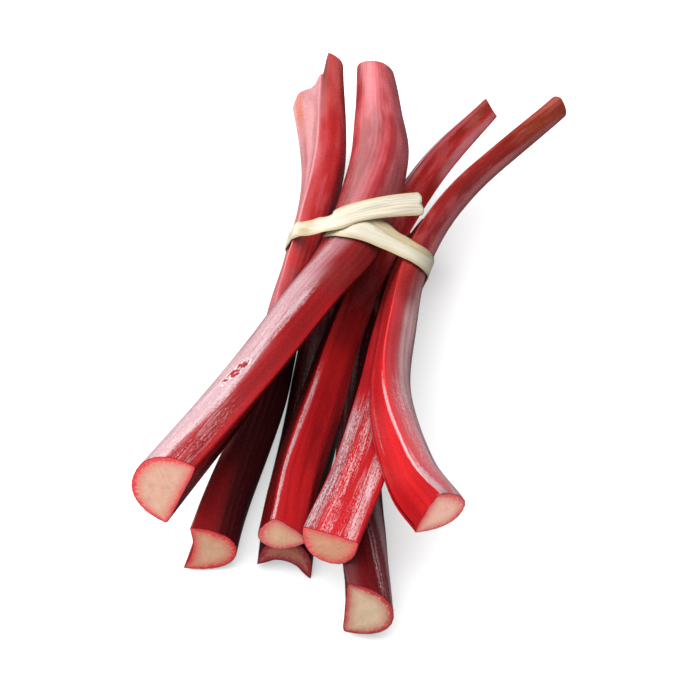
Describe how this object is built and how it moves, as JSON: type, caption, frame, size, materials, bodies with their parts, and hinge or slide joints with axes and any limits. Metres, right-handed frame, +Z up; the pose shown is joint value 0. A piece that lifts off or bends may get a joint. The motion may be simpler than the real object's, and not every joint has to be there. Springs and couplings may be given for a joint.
{
  "type": "tied bundle of rhubarb stalks",
  "caption": "Cut red rhubarb stalks lying in a loose, crossing bunch, held together by one flat pale raffia tie with a free end.",
  "frame": {"origin": "middle of the bunch's footprint, on the surface that it lies on", "axes": "+Z up, +Y from the cut butts towards the leaf ends, +X to the right when looking along +Y"},
  "size_m": [0.2473, 0.4507, 0.0837],
  "materials": {
    "stalk_skin": "glossy ribbed red plant skin over pale peach flesh at the cuts",
    "raffia": "satin cream raffia with fine lengthwise fibres"
  },
  "bodies": {
    "root": {"stalk_1": "stalk_skin", "stalk_2": "stalk_skin", "stalk_3": "stalk_skin", "stalk_4": "stalk_skin", "stalk_5": "stalk_skin", "stalk_6": "stalk_skin", "stalk_7": "stalk_skin", "tie": "raffia"}
  },
  "joints": []
}
